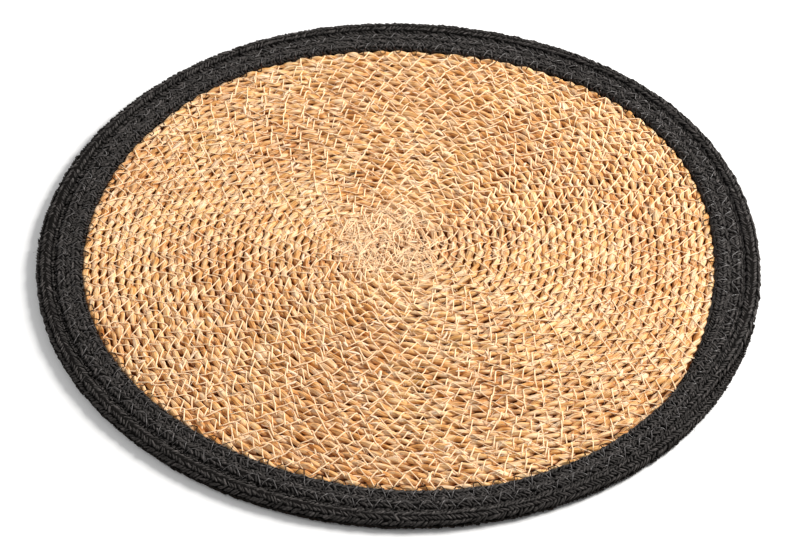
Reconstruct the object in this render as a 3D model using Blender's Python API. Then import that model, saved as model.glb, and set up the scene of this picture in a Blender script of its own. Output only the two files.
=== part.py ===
"""A round seagrass placemat with a black braided border, lying flat.

Metres, +Z up. The underside lies on z = 0, and the origin is the middle of the mat's box there.
The mat is sewn from two cords that follow one coil: twisted seagrass from the middle out, then three
turns of black braid. Each cord's turns are one flat solid, because the stitches join them edge to edge.
"""

from collections import namedtuple
from math import cos, pi, radians, sin, tau

import bmesh
import bpy
from mathutils import Vector

# Driving dimensions
MAT_RADIUS = 0.190            # to the outside of the border, on average
FIELD_RADIUS = 0.1675         # to the last turn of seagrass cord, on average
FIELD_THICKNESS = 0.0048      # one seagrass cord lying flat
FIELD_EDGE_ROUND = 0.0012     # rounding along the edge of the last seagrass turn
SEAM_GAP = 0.0003             # between the seagrass and the braid
VALLEY_HEIGHT = 0.0040        # where two turns of braid meet
FOOT_SHARE = 0.06             # how far the border's foot is drawn in, as a share of its width

ROUND_STEPS = 6               # facets over the top of one turn of braid
FOOT_STEPS = 3                # facets from the side of the border down to its foot
TURN_STEPS = 120              # facets once round the mat

# The black cord's turns, from the seagrass outwards: share of the border's width, and height
BraidTurn = namedtuple("BraidTurn", "share height")
BRAID_TURNS = (
    BraidTurn(share=0.32, height=0.0062),
    BraidTurn(share=0.32, height=0.0064),
    BraidTurn(share=0.36, height=0.0066),
)

# Sewing by hand leaves both outlines a little uneven: slow waves added to the average radius
Wave = namedtuple("Wave", "per_turn size crest_deg")
MAT_WAVES = (
    Wave(per_turn=1, size=0.0004, crest_deg=163),
    Wave(per_turn=2, size=0.0005, crest_deg=43),
    Wave(per_turn=3, size=0.0010, crest_deg=49),
    Wave(per_turn=4, size=0.0007, crest_deg=34),
    Wave(per_turn=5, size=0.0004, crest_deg=-31),
)
FIELD_WAVES = (
    Wave(per_turn=1, size=0.0005, crest_deg=-15),
    Wave(per_turn=2, size=0.0005, crest_deg=80),
    Wave(per_turn=3, size=0.0017, crest_deg=47),
    Wave(per_turn=4, size=0.0017, crest_deg=34),
    Wave(per_turn=5, size=0.0006, crest_deg=-29),
)

# Materials: base colour, roughness
SEAGRASS_COLOUR = (0.58, 0.36, 0.17, 1.0)
SEAGRASS_ROUGHNESS = 0.72
BRAID_COLOUR = (0.025, 0.025, 0.028, 1.0)
BRAID_ROUGHNESS = 0.92


def clear_scene():
    for thing in list(bpy.data.objects):
        bpy.data.objects.remove(thing, do_unlink=True)


def cloth_material(name, colour, roughness):
    material = bpy.data.materials.new(name)
    material.use_nodes = True
    shader = material.node_tree.nodes["Principled BSDF"]
    shader.inputs["Base Color"].default_value = colour
    shader.inputs["Roughness"].default_value = roughness
    shader.inputs["Metallic"].default_value = 0.0
    return material


def radius_at(angle, average, waves):
    return average + sum(w.size * cos(w.per_turn * (angle - radians(w.crest_deg))) for w in waves)


def outline_radii(average, waves):
    return [radius_at(tau * step / TURN_STEPS, average, waves) for step in range(TURN_STEPS)]


def middle_of_box(radii):
    """The middle of the outline's box, which the origin is moved to."""
    angles = [tau * step / TURN_STEPS for step in range(TURN_STEPS)]
    across = [radius * cos(angle) for radius, angle in zip(radii, angles)]
    along = [radius * sin(angle) for radius, angle in zip(radii, angles)]
    return Vector(((min(across) + max(across)) / 2, (min(along) + max(along)) / 2, 0.0))


def ring_of_points(mesh, radii, height, middle):
    """One closed row of points at this height, a point for each radius."""
    points = []
    for step, radius in enumerate(radii):
        angle = tau * step / TURN_STEPS
        points.append(mesh.verts.new(Vector((radius * cos(angle), radius * sin(angle), height)) - middle))
    return points


def join_rings(mesh, first, second):
    """A band of four-sided faces from one row of points to the next."""
    for step in range(TURN_STEPS):
        after = (step + 1) % TURN_STEPS
        mesh.faces.new((first[step], first[after], second[after], second[step]))


def finished_object(name, mesh, material):
    bmesh.ops.recalc_face_normals(mesh, faces=mesh.faces)
    data = bpy.data.meshes.new(name)
    mesh.to_mesh(data)
    mesh.free()
    data.materials.append(material)
    data.shade_smooth()
    data.set_sharp_from_angle(angle=radians(40))
    piece = bpy.data.objects.new(name, data)
    bpy.context.scene.collection.objects.link(piece)
    return piece


def rounded_edge(radius, thickness, rounding):
    """(radius, height) down the edge of a flat disc, from its underside to its top."""
    return (
        (radius - rounding, 0.0),
        (radius, rounding),
        (radius, thickness - rounding),
        (radius - rounding, thickness),
    )


def make_seagrass_field(field_radii, middle):
    mesh = bmesh.new()
    edges = [rounded_edge(radius, FIELD_THICKNESS, FIELD_EDGE_ROUND) for radius in field_radii]
    rings = []
    for row in zip(*edges):
        height = row[0][1]
        rings.append(ring_of_points(mesh, [radius for radius, _ in row], height, middle))
    for lower, upper in zip(rings, rings[1:]):
        join_rings(mesh, lower, upper)
    mesh.faces.new(reversed(rings[0]))
    mesh.faces.new(rings[-1])
    colour = cloth_material("seagrass", SEAGRASS_COLOUR, SEAGRASS_ROUGHNESS)
    return finished_object("seagrass_field", mesh, colour)


def foot_arc():
    """(share drawn in, height) from the foot of the border up to the side of its end turn."""
    arc = []
    for step in range(FOOT_STEPS):
        turn = pi / 2 * step / FOOT_STEPS
        arc.append((FOOT_SHARE * (1 - sin(turn)), VALLEY_HEIGHT * (1 - cos(turn))))
    return arc


def border_section():
    """(share across the border, height) of its three rounded turns, from the inner foot to the outer."""
    foot = foot_arc()
    section = list(foot)
    start = 0.0
    for turn in BRAID_TURNS:
        for step in range(ROUND_STEPS):
            angle = pi * step / ROUND_STEPS
            across = start + turn.share * (1 - cos(angle)) / 2
            section.append((across, VALLEY_HEIGHT + (turn.height - VALLEY_HEIGHT) * sin(angle)))
        start += turn.share
    section.append((1.0, VALLEY_HEIGHT))
    section += [(1.0 - share, height) for share, height in reversed(foot)]
    return section


def make_braid_border(field_radii, mat_radii, middle):
    mesh = bmesh.new()
    rings = []
    for share, height in border_section():
        radii = []
        for field_radius, mat_radius in zip(field_radii, mat_radii):
            inner = field_radius + SEAM_GAP
            radii.append(inner + share * (mat_radius - inner))
        rings.append(ring_of_points(mesh, radii, height, middle))
    for step, ring in enumerate(rings):
        join_rings(mesh, ring, rings[(step + 1) % len(rings)])
    colour = cloth_material("black_braid", BRAID_COLOUR, BRAID_ROUGHNESS)
    return finished_object("braid_border", mesh, colour)


clear_scene()
mat_radii = outline_radii(MAT_RADIUS, MAT_WAVES)
field_radii = outline_radii(FIELD_RADIUS, FIELD_WAVES)
box_middle = middle_of_box(mat_radii)
make_seagrass_field(field_radii, box_middle)
make_braid_border(field_radii, mat_radii, box_middle)
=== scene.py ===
# %% [markdown]
# # A round seagrass placemat with a black braided border
# The real mat is made from two cords. Seagrass is twisted into a cord of two plies, coiled flat from
# the middle out, and each round is sewn to the one before it with a wide zigzag in cream thread.
# Three rounds of black braid are sewn on round the rim with dark thread.
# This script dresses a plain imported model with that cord, braid and thread. Lengths are in metres.

from math import cos, pi, radians, sin, tau

import bpy
import numpy as np
from mathutils import Matrix, Vector
from mathutils.bvhtree import BVHTree
from mathutils.kdtree import KDTree


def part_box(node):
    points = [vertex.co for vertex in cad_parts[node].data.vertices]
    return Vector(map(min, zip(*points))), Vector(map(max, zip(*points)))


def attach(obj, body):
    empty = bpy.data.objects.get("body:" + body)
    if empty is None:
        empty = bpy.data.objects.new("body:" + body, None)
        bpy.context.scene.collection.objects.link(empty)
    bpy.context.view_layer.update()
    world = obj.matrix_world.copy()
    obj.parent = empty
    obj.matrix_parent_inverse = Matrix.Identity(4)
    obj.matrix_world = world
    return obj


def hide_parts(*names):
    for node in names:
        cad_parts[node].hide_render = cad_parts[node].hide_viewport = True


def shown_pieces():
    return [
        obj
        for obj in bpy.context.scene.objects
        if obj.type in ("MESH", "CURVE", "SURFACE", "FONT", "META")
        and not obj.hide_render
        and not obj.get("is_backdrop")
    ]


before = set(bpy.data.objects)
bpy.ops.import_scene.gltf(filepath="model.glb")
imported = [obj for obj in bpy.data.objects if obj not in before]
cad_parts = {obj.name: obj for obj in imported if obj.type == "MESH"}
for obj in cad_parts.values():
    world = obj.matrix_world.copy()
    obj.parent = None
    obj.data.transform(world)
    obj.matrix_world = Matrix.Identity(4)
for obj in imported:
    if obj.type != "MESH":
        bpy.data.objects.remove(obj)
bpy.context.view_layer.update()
MM = 0.001

# %% [markdown]
# ## Sizes from the frame
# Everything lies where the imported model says. Its field gives the edge of the seagrass and its border
# gives the rim of the mat, both a little out of round, as hand-sewn coils are. Each edge is read as a
# radius for every angle, so that a round of cord can follow it.

# %% Read the two outlines
ANGLE_STEP = 3.0    # degrees between two readings of an outline
EDGE_SHARE = 0.9    # points of the field past this share of its half width are on its edge


def node_points(node):
    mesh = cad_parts[node].data
    points = np.empty(len(mesh.vertices) * 3)
    mesh.vertices.foreach_get("co", points)
    return points.reshape(-1, 3)


def edge_radii(points, centre, choose):
    """The chosen radius (np.max or np.min) of the points in each step of angle round the centre."""
    offset = points[:, :2] - centre
    angle = np.degrees(np.arctan2(offset[:, 1], offset[:, 0])) % 360
    step = np.round(angle / ANGLE_STEP).astype(int) % int(360 / ANGLE_STEP)
    radius = np.hypot(offset[:, 0], offset[:, 1])
    return np.array([choose(radius[step == place]) for place in range(int(360 / ANGLE_STEP))])


def radius_reader(radii):
    angles = np.radians(np.arange(len(radii)) * ANGLE_STEP)
    return lambda angle: np.interp(angle, angles, radii, period=tau)


field_points = node_points("seagrass_field")
border_points = node_points("braid_border")
from_middle = np.hypot(field_points[:, 0], field_points[:, 1])
edge_only = field_points[from_middle > EDGE_SHARE * field_points[:, 0].max()]
coil_centre = edge_only[:, :2].mean(axis=0)
field_edge = radius_reader(edge_radii(field_points, coil_centre, np.max))
border_inner = radius_reader(edge_radii(border_points, coil_centre, np.min))
border_outer = radius_reader(edge_radii(border_points, coil_centre, np.max))
FIELD_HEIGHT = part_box("seagrass_field")[1].z
field_mean = float(field_edge(np.linspace(0, tau, 360)).mean())
print("seagrass radius", round(field_mean / MM, 1), "mm, height", round(FIELD_HEIGHT / MM, 1), "mm")

# %% [markdown]
# ## The coil
# Each round lies close to a ring, and steps out to the next one over a short stretch, so the rounds
# look like rings with a line of steps on one side. The first few rounds are too tight for that and
# spiral evenly. A plain spiral would be simpler, but its rounds would cross the outline at the rim.
# `q` counts rounds along the coil: 0 at the middle, 1 after one round, and so on.

# %% The line that the cord follows
TURNS = 38
PITCH = field_mean / TURNS
END_ANGLE = radians(345)                   # where the last round of seagrass ends
STEP_SHARE = 40 / 360                      # part of a round over which it steps out
EVEN_TURNS = 12                            # rounds until the even spiral has become rings
EYE_TURNS = 14                             # rounds until the coil's off-centre eye is evened out
EYE_SHIFT = np.array([-2.6, 5.1]) * MM     # of the eye, from the middle of the outline
TIGHT_STEP = 0.3                           # longest step in the tight rounds, as a share of the radius


def smooth(x):
    x = np.clip(x, 0, 1)
    return x * x * (3 - 2 * x)


def late_step(share):
    """0 for most of a round, rising to 1 over its last part."""
    return smooth((share - 1 + STEP_SHARE) / STEP_SHARE)


def stepped(share, rounds):
    """The even spiral's way out at this share of a round, or the ring's once there are enough rounds."""
    late = smooth(rounds / EVEN_TURNS)
    return share * (1 - late) + late_step(share) * late


def step_out(q):
    """How far a round has moved out towards the next one, from 0 to 1."""
    turn = np.floor(q)
    return stepped(q - turn, turn)


def coil_place(q, shift=0.0):
    """The point of the plane at coil position q, moved out from the cord's middle by shift rounds."""
    q = np.asarray(q, float)
    turn = np.floor(q)
    last = turn >= TURNS - 1
    place = turn + 0.5 + step_out(q) * np.where(last, 0.5, 1.0) + shift
    angle = END_ANGLE + tau * q
    radius = field_edge(angle) / TURNS * place
    drift = 1 - smooth(place / EYE_TURNS)
    across = np.stack([np.cos(angle), np.sin(angle)], -1) * radius[..., None]
    return coil_centre + across + drift[..., None] * EYE_SHIFT


def coil_positions(step_length, last_q):
    """Coil positions a step apart along the cord, closer together in the tight first rounds."""
    positions = [0.0]
    while positions[-1] < last_q:
        radius = PITCH * (positions[-1] + 0.5)
        step = min(step_length, radius * TIGHT_STEP)
        positions.append(positions[-1] + step / (tau * radius))
    return np.array(positions)


def run_length(points):
    return np.concatenate([[0], np.cumsum(np.linalg.norm(np.diff(points, axis=0), axis=1))])


print("rounds of seagrass", TURNS, "at", round(PITCH / MM, 2), "mm")

# %% [markdown]
# ## Building trees in a script
# Node trees are usually wired by hand in an editor. A few short helpers wire them here instead: one adds
# a node and connects its inputs, two add single steps of arithmetic, and one makes a tree with named
# sockets. The same helpers serve the materials and the Geometry Nodes, so both can be read line by line.


# %% Helpers for node trees
def add_node(tree, kind, wires=None, **settings):
    """A node with its settings made, and each input wired to a socket or given a value."""
    made = tree.nodes.new(kind)
    for key, value in settings.items():
        setattr(made, key, value)
    for key, value in (wires or {}).items():
        if isinstance(key, int):
            target = made.inputs[key]
        else:
            target = next(s for s in made.inputs if key in (s.identifier, s.name))
        if isinstance(value, bpy.types.NodeSocket):
            tree.links.new(value, target)
        else:
            target.default_value = value
    return made


def add_math(tree, operation, *operands):
    return add_node(tree, "ShaderNodeMath", dict(enumerate(operands)), operation=operation).outputs[0]


def add_vector_math(tree, operation, *operands):
    return add_node(tree, "ShaderNodeVectorMath", dict(enumerate(operands)), operation=operation).outputs[0]


def scale_vector(tree, vector, factor):
    wires = {"Vector": vector, "Scale": factor}
    return add_node(tree, "ShaderNodeVectorMath", wires, operation="SCALE").outputs[0]


def new_tree(name, kind, inputs, outputs):
    """A node tree with named sockets: inputs and outputs are (name, socket type, first value)."""
    tree = bpy.data.node_groups.new(name, kind)
    for side, sockets in (("INPUT", inputs), ("OUTPUT", outputs)):
        for label, socket_type, *first in sockets:
            socket = tree.interface.new_socket(label, in_out=side, socket_type=socket_type)
            if first:
                socket.default_value = first[0]
    return tree


print("node helpers ready")

# %% [markdown]
# ## A shared grain and a shared depth
# Seagrass, thread and yarn all have streaks that run along them. A shared group makes the streaks and
# the slower patches from the strand coordinate: two numbers round the strand and one along it, in
# millimetres, so that the grain follows every twist. It also gives the edges of blades that lie over
# each other. A second group tells high places from deep ones by their height above the table, so that
# painted shade can darken the gaps and the low places. Groups are used, and not copies, so that each
# material only gives its own values.

# %% The grain group and the depth group
STRAND = "strand"
LAYER_SCALE = 0.5           # how closely the layered blades follow each other
LAYER_EDGE = (0.72, 0.98)   # the last part of a layer, which is its edge
STREAK_HEIGHT = 0.6
PATCH_HEIGHT = 0.2
LAYER_HEIGHT = 0.55


def grain_group():
    """Streaks along a strand, slower patches of tone, edges of layered blades, and a height for bump."""
    inputs = [("Strand", "NodeSocketVector"), ("Fineness", "NodeSocketFloat", 3.0),
              ("Stretch", "NodeSocketFloat", 0.08), ("Patch Size", "NodeSocketFloat", 9.0),
              ("Layers", "NodeSocketFloat", 0.0)]
    outputs = [("Streaks", "NodeSocketFloat"), ("Patches", "NodeSocketFloat"),
               ("Edges", "NodeSocketFloat"), ("Height", "NodeSocketFloat")]
    tree = new_tree("strand_grain", "ShaderNodeTree", inputs, outputs)
    given = add_node(tree, "NodeGroupInput")
    apart = add_node(tree, "ShaderNodeSeparateXYZ", {0: given.outputs["Strand"]})
    squeezed = add_math(tree, "MULTIPLY", apart.outputs[2], given.outputs["Stretch"])
    stretched = add_node(tree, "ShaderNodeCombineXYZ",
                         {0: apart.outputs[0], 1: apart.outputs[1], 2: squeezed}).outputs[0]
    streaks = add_node(tree, "ShaderNodeTexNoise",
                       {"Vector": stretched, "Scale": given.outputs["Fineness"], "Detail": 3.0})
    patch_scale = add_math(tree, "DIVIDE", 1.0, given.outputs["Patch Size"])
    patches = add_node(tree, "ShaderNodeTexNoise",
                       {"Vector": given.outputs["Strand"], "Scale": patch_scale, "Detail": 2.0})
    slope = add_node(tree, "ShaderNodeTexNoise",
                     {"Vector": stretched, "Scale": LAYER_SCALE, "Detail": 1.0}).outputs[0]
    layer = add_math(tree, "FRACT", add_math(tree, "MULTIPLY", slope, given.outputs["Layers"]))
    edge_wires = {"Value": layer, "From Min": LAYER_EDGE[0], "From Max": LAYER_EDGE[1]}
    edges = add_node(tree, "ShaderNodeMapRange", edge_wires, interpolation_type="SMOOTHSTEP").outputs[0]
    soft = add_math(tree, "MULTIPLY_ADD", streaks.outputs[0], STREAK_HEIGHT,
                    add_math(tree, "MULTIPLY", patches.outputs[0], PATCH_HEIGHT))
    height = add_math(tree, "MULTIPLY_ADD", layer, LAYER_HEIGHT, soft)
    add_node(tree, "NodeGroupOutput", {"Streaks": streaks.outputs[0], "Patches": patches.outputs[0],
                                       "Edges": edges, "Height": height})
    return tree


def depth_group():
    """A mask from 0 in the deep gaps to 1 on top, from the height above the table."""
    inputs = [("Low", "NodeSocketFloat", 1.0), ("High", "NodeSocketFloat", 4.0)]
    tree = new_tree("depth_mask", "ShaderNodeTree", inputs, [("Mask", "NodeSocketFloat")])
    given = add_node(tree, "NodeGroupInput")
    place = add_node(tree, "ShaderNodeTexCoord")
    height = add_node(tree, "ShaderNodeSeparateXYZ", {0: place.outputs["Object"]}).outputs[2]
    height = add_math(tree, "DIVIDE", height, MM)
    wires = {"Value": height, "From Min": given.outputs["Low"], "From Max": given.outputs["High"]}
    mask = add_node(tree, "ShaderNodeMapRange", wires, interpolation_type="SMOOTHSTEP")
    add_node(tree, "NodeGroupOutput", {"Mask": mask.outputs[0]})
    return tree


GRAIN = grain_group()
DEPTH = depth_group()
print("grain group has", len(GRAIN.nodes), "nodes, depth group", len(DEPTH.nodes))

# %% [markdown]
# ## Helpers for finishes
# A finish is a Principled shader whose colour, roughness and bump change over the surface. Colours are
# chosen as they look on a screen and turned into the linear values that nodes work with.


# %% Colour and material helpers
def linear(red, green, blue):
    """A colour given as it looks on screen, 0 to 255, turned into the linear values nodes use."""
    shown = np.array([red, green, blue]) / 255
    made = np.where(shown <= 0.04045, shown / 12.92, ((shown + 0.055) / 1.055) ** 2.4)
    return (*[float(value) for value in made], 1.0)


def color_ramp(tree, factor, stops):
    ramp = add_node(tree, "ShaderNodeValToRGB", {0: factor})
    elements = ramp.color_ramp.elements
    while len(elements) < len(stops):
        elements.new(0.5)
    for element, (place, color) in zip(elements, stops):
        element.position = place
        element.color = color
    return ramp.outputs[0]


def mix_color(tree, factor, first, second, blend="MIX"):
    wires = {"Factor_Float": factor, "A_Color": first, "B_Color": second}
    made = add_node(tree, "ShaderNodeMix", wires, data_type="RGBA", blend_type=blend)
    return next(s for s in made.outputs if s.identifier == "Result_Color")


def map_range(tree, value, low, high, to_low, to_high):
    wires = {"Value": value, "From Min": low, "From Max": high, "To Min": to_low, "To Max": to_high}
    return add_node(tree, "ShaderNodeMapRange", wires).outputs[0]


def new_material(name, **constants):
    """A material with its Principled shader, whose constant sockets are set by name."""
    material = bpy.data.materials.new(name)
    material.use_nodes = True
    tree = material.node_tree
    shader = tree.nodes["Principled BSDF"]
    for key, value in constants.items():
        shader.inputs[key.replace("_", " ")].default_value = value
    return material, tree, shader


def grain_in(tree, fineness, stretch, patch_size, layers=0.0):
    strand = add_node(tree, "ShaderNodeAttribute", attribute_name=STRAND).outputs["Vector"]
    made = add_node(tree, "ShaderNodeGroup", node_tree=GRAIN)
    tree.links.new(strand, made.inputs["Strand"])
    made.inputs["Fineness"].default_value = fineness
    made.inputs["Stretch"].default_value = stretch
    made.inputs["Patch Size"].default_value = patch_size
    made.inputs["Layers"].default_value = layers
    return made


def depth_in(tree, low, high):
    made = add_node(tree, "ShaderNodeGroup", node_tree=DEPTH)
    made.inputs["Low"].default_value = low
    made.inputs["High"].default_value = high
    return made.outputs["Mask"]


def add_bump(tree, shader, height, distance, strength=1.0):
    bump = add_node(tree, "ShaderNodeBump", {"Height": height, "Distance": distance, "Strength": strength})
    tree.links.new(bump.outputs[0], shader.inputs["Normal"])


print("mid straw in linear values", [round(value, 2) for value in linear(238, 188, 124)[:3]])

# %% [markdown]
# ## The seagrass finish
# Dry seagrass is straw to honey brown, streaked along the blade, with a dull shine. Blades differ, so
# the streaks and patches pick a tone from a ramp. On top come slow changes over the whole mat, since
# the cord is made of many bundles, dark edges where a blade laps over another, and a paler middle
# where the start of the coil has been handled most. Low in the gaps the colour is darkened to a deep
# brown, as painted shade.

# %% Seagrass and the blades inside it
SEAGRASS_TONES = [
    (0.4, linear(158, 92, 36)), (0.5, linear(213, 151, 82)), (0.59, linear(238, 188, 124)),
    (0.69, linear(249, 213, 166)), (0.81, linear(252, 229, 198))]
OLIVE = linear(196, 158, 88)
WORN_PALE = linear(250, 224, 188)
WORN_RADII = (12 * MM, 45 * MM)    # fully pale inside the first, not at all past the second
BROAD_SHADE = linear(214, 178, 140)
BLADE_EDGE = linear(158, 98, 48)
# The deep brown below is painted shade: it darkens the seagrass low in the gaps between rounds and plies.
PAINTED_GAP_SHADE = linear(150, 78, 20)
CORD_SHADE_DEPTHS = (1.5, 4.1)           # millimetres above the table: fully dark, fully light
# The inner blade tones are painted shade, the dark brown that fills the gaps between plies.
INNER_SHADE_TONES = [(0.3, linear(66, 26, 4)), (0.55, linear(104, 54, 18)), (0.75, linear(140, 84, 36))]


def radial_mask(tree, inner, outer):
    """1 inside the inner radius, falling to 0 at the outer one."""
    place = add_node(tree, "ShaderNodeTexCoord").outputs["Object"]
    middle = Vector((*(coil_centre + EYE_SHIFT), 0))
    away = add_vector_math(tree, "SUBTRACT", place, middle)
    flat = add_vector_math(tree, "MULTIPLY", away, (1, 1, 0))
    distance = add_node(tree, "ShaderNodeVectorMath", {0: flat}, operation="LENGTH").outputs["Value"]
    return map_range(tree, distance, inner, outer, 1.0, 0.0)


def seagrass_material():
    material, tree, shader = new_material(
        "dry_seagrass", Sheen_Weight=0.02, Sheen_Roughness=0.4, Specular_IOR_Level=0.2)
    grain = grain_in(tree, fineness=2.2, stretch=0.07, patch_size=8.0, layers=6.0)
    tone = add_math(tree, "MULTIPLY_ADD", grain.outputs["Patches"], 0.8,
                    add_math(tree, "MULTIPLY", grain.outputs["Streaks"], 0.45))
    color = color_ramp(tree, tone, SEAGRASS_TONES)
    place = add_node(tree, "ShaderNodeTexCoord").outputs["Object"]
    slow = add_node(tree, "ShaderNodeTexNoise", {"Vector": place, "Scale": 40.0, "Detail": 3.0}).outputs[0]
    olive = map_range(tree, slow, 0.58, 0.74, 0.0, 0.4)
    color = mix_color(tree, olive, color, OLIVE)
    pale = add_math(tree, "MULTIPLY", radial_mask(tree, *WORN_RADII), 0.35)
    color = mix_color(tree, pale, color, WORN_PALE)
    wide = add_node(tree, "ShaderNodeTexNoise", {"Vector": place, "Scale": 17.0, "Detail": 1.0}).outputs[0]
    shade = map_range(tree, wide, 0.34, 0.64, 0.5, 0.0)
    color = mix_color(tree, shade, color, BROAD_SHADE, "MULTIPLY")
    color = mix_color(tree, add_math(tree, "MULTIPLY", grain.outputs["Edges"], 0.7),
                      color, BLADE_EDGE, "MULTIPLY")
    # Painted shade: the colour is darkened to deep brown low in the gaps, blended in by height above the
    # table.
    dark = mix_color(tree, 1.0, color, PAINTED_GAP_SHADE, "MULTIPLY")
    color = mix_color(tree, depth_in(tree, *CORD_SHADE_DEPTHS), dark, color)
    tree.links.new(color, shader.inputs["Base Color"])
    rough = map_range(tree, grain.outputs["Streaks"], 0.3, 0.7, 0.42, 0.68)
    tree.links.new(rough, shader.inputs["Roughness"])
    add_bump(tree, shader, grain.outputs["Height"], 0.4 * MM, 0.9)
    return material


def inner_blades_material():
    material, tree, shader = new_material("shaded_inner_blades", Roughness=0.9, Specular_IOR_Level=0.05)
    place = add_node(tree, "ShaderNodeTexCoord").outputs["Object"]
    noise = add_node(tree, "ShaderNodeTexNoise", {"Vector": place, "Scale": 600.0, "Detail": 4.0}).outputs[0]
    # Painted shade: the tones are dark brown, as the gaps look in shade.
    color = color_ramp(tree, noise, INNER_SHADE_TONES)
    tree.links.new(color, shader.inputs["Base Color"])
    add_bump(tree, shader, noise, 0.4 * MM)
    return material


seagrass = seagrass_material()
shaded_inner_blades = inner_blades_material()
print("finishes", seagrass.name, "and", shaded_inner_blades.name)

# %% [markdown]
# ## A tree for every strand
# Plies, threads, fibres and loose blades are all strands: a section swept along a path. One tree serves
# them all. It turns a path's edges into curves, moves them off the path by a twist where there is one,
# sweeps a section of a few sides, and pushes the surface in and out a little, as folded blades do. It
# also stores the strand coordinate that the grain reads.

# %% The strand tree
SWELL_LENGTH = 16.0     # millimetres from one thick place of a strand to the next
CREASE_STRETCH = 0.22   # creases are this much longer along the strand than round it
CREASE_SCALE = 0.9


def strand_tree():
    inputs = [("Geometry", "NodeSocketGeometry"), ("Sides", "NodeSocketInt", 6),
              ("Radius", "NodeSocketFloat", 0.001), ("Flatness", "NodeSocketFloat", 1.0),
              ("Twist Offset", "NodeSocketFloat", 0.0), ("Phase", "NodeSocketFloat", 0.0),
              ("Girth Variation", "NodeSocketFloat", 0.0), ("Crease Depth", "NodeSocketFloat", 0.0),
              ("Seed", "NodeSocketFloat", 0.0), ("Material", "NodeSocketMaterial")]
    tree = new_tree("strand_along_a_path", "GeometryNodeTree", inputs, [("Geometry", "NodeSocketGeometry")])
    given = add_node(tree, "NodeGroupInput").outputs

    def named(key):
        return add_node(tree, "GeometryNodeInputNamedAttribute", {"Name": key}, data_type="FLOAT").outputs[0]

    curve = add_node(tree, "GeometryNodeMeshToCurve", {"Mesh": given["Geometry"]}).outputs[0]
    tangent = add_node(tree, "GeometryNodeInputTangent").outputs[0]
    inward = add_vector_math(tree, "NORMALIZE", add_vector_math(tree, "CROSS_PRODUCT", (0, 0, 1), tangent))
    angle = add_math(tree, "ADD", named("twist"), given["Phase"])
    sideways = scale_vector(tree, inward, add_math(tree, "COSINE", angle))
    upwards = add_node(tree, "ShaderNodeCombineXYZ", {2: add_math(tree, "SINE", angle)}).outputs[0]
    away = add_vector_math(tree, "ADD", sideways, upwards)
    away = scale_vector(tree, away, add_math(tree, "MULTIPLY", given["Twist Offset"], named("girth")))
    curve = add_node(tree, "GeometryNodeSetPosition", {"Geometry": curve, "Offset": away}).outputs[0]
    curve = add_node(tree, "GeometryNodeSetCurveNormal", {"Curve": curve}, mode="Z_UP").outputs[0]

    section = add_node(tree, "GeometryNodeCurvePrimitiveCircle",
                       {"Resolution": given["Sides"], "Radius": 1.0}).outputs[0]
    squash = add_node(tree, "ShaderNodeCombineXYZ", {0: 1.0, 1: given["Flatness"], 2: 1.0}).outputs[0]
    section = add_node(tree, "GeometryNodeTransform", {"Geometry": section, "Scale": squash}).outputs[0]
    round_share = add_node(tree, "GeometryNodeSplineParameter").outputs["Factor"]
    section = add_node(tree, "GeometryNodeStoreNamedAttribute",
                       {"Geometry": section, "Name": "round_share", "Value": round_share},
                       data_type="FLOAT").outputs[0]

    along = add_math(tree, "ADD", named("along"), given["Seed"])
    waves = add_math(tree, "DIVIDE", along, SWELL_LENGTH)
    girth_noise = add_node(tree, "ShaderNodeTexNoise", {"W": waves, "Scale": 1.0},
                           noise_dimensions="1D").outputs[0]
    swell = add_math(tree, "MULTIPLY_ADD", add_math(tree, "SUBTRACT", girth_noise, 0.5),
                     given["Girth Variation"], 1.0)
    radius = add_math(tree, "MULTIPLY", add_math(tree, "MULTIPLY", given["Radius"], swell), named("girth"))
    mesh = add_node(tree, "GeometryNodeCurveToMesh",
                    {"Curve": curve, "Profile Curve": section, "Scale": radius, "Fill Caps": True}).outputs[0]

    turn = add_math(tree, "MULTIPLY", named("round_share"), tau)
    size = add_math(tree, "DIVIDE", given["Radius"], MM)
    strand = add_node(tree, "ShaderNodeCombineXYZ", {
        0: add_math(tree, "MULTIPLY", add_math(tree, "COSINE", turn), size),
        1: add_math(tree, "MULTIPLY", add_math(tree, "SINE", turn), size),
        2: add_math(tree, "ADD", named("along"), given["Seed"])}).outputs[0]
    mesh = add_node(tree, "GeometryNodeStoreNamedAttribute",
                    {"Geometry": mesh, "Name": STRAND, "Value": strand}, data_type="FLOAT_VECTOR").outputs[0]
    grain = add_vector_math(tree, "MULTIPLY", strand, (1.0, 1.0, CREASE_STRETCH))
    crease = add_node(tree, "ShaderNodeTexNoise",
                      {"Vector": grain, "Scale": CREASE_SCALE, "Detail": 1.0}).outputs[0]
    push = add_math(tree, "MULTIPLY", add_math(tree, "SUBTRACT", crease, 0.5), given["Crease Depth"])
    normal = add_node(tree, "GeometryNodeInputNormal").outputs[0]
    mesh = add_node(tree, "GeometryNodeSetPosition",
                    {"Geometry": mesh, "Offset": scale_vector(tree, normal, push)}).outputs[0]
    mesh = add_node(tree, "GeometryNodeRealizeInstances", {"Geometry": mesh}).outputs[0]
    mesh = add_node(tree, "GeometryNodeSetMaterial",
                    {"Geometry": mesh, "Material": given["Material"]}).outputs[0]
    add_node(tree, "NodeGroupOutput", {"Geometry": mesh})
    return tree


STRAND_TREE = strand_tree()
print("strand tree has", len(STRAND_TREE.nodes), "nodes")

# %% [markdown]
# ## From a path to a finished piece
# A path is a mesh of bare edges that carries its own values, such as girth and twist, from point to
# point. The tree runs on it as a modifier, and the result is copied out as a plain mesh, so that no
# modifier is left on the piece. The lowest points are then pressed flat, as the cord is by its own
# weight on a table. Each piece reports its triangles, and its volume, which is above zero only when
# the faces point outwards.

# %% Paths, growing and measuring
TABLE_GAP = 0.15 * MM
PRESSED_SHARE = 0.1     # of how far a point would lie below the table, kept as unevenness


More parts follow.
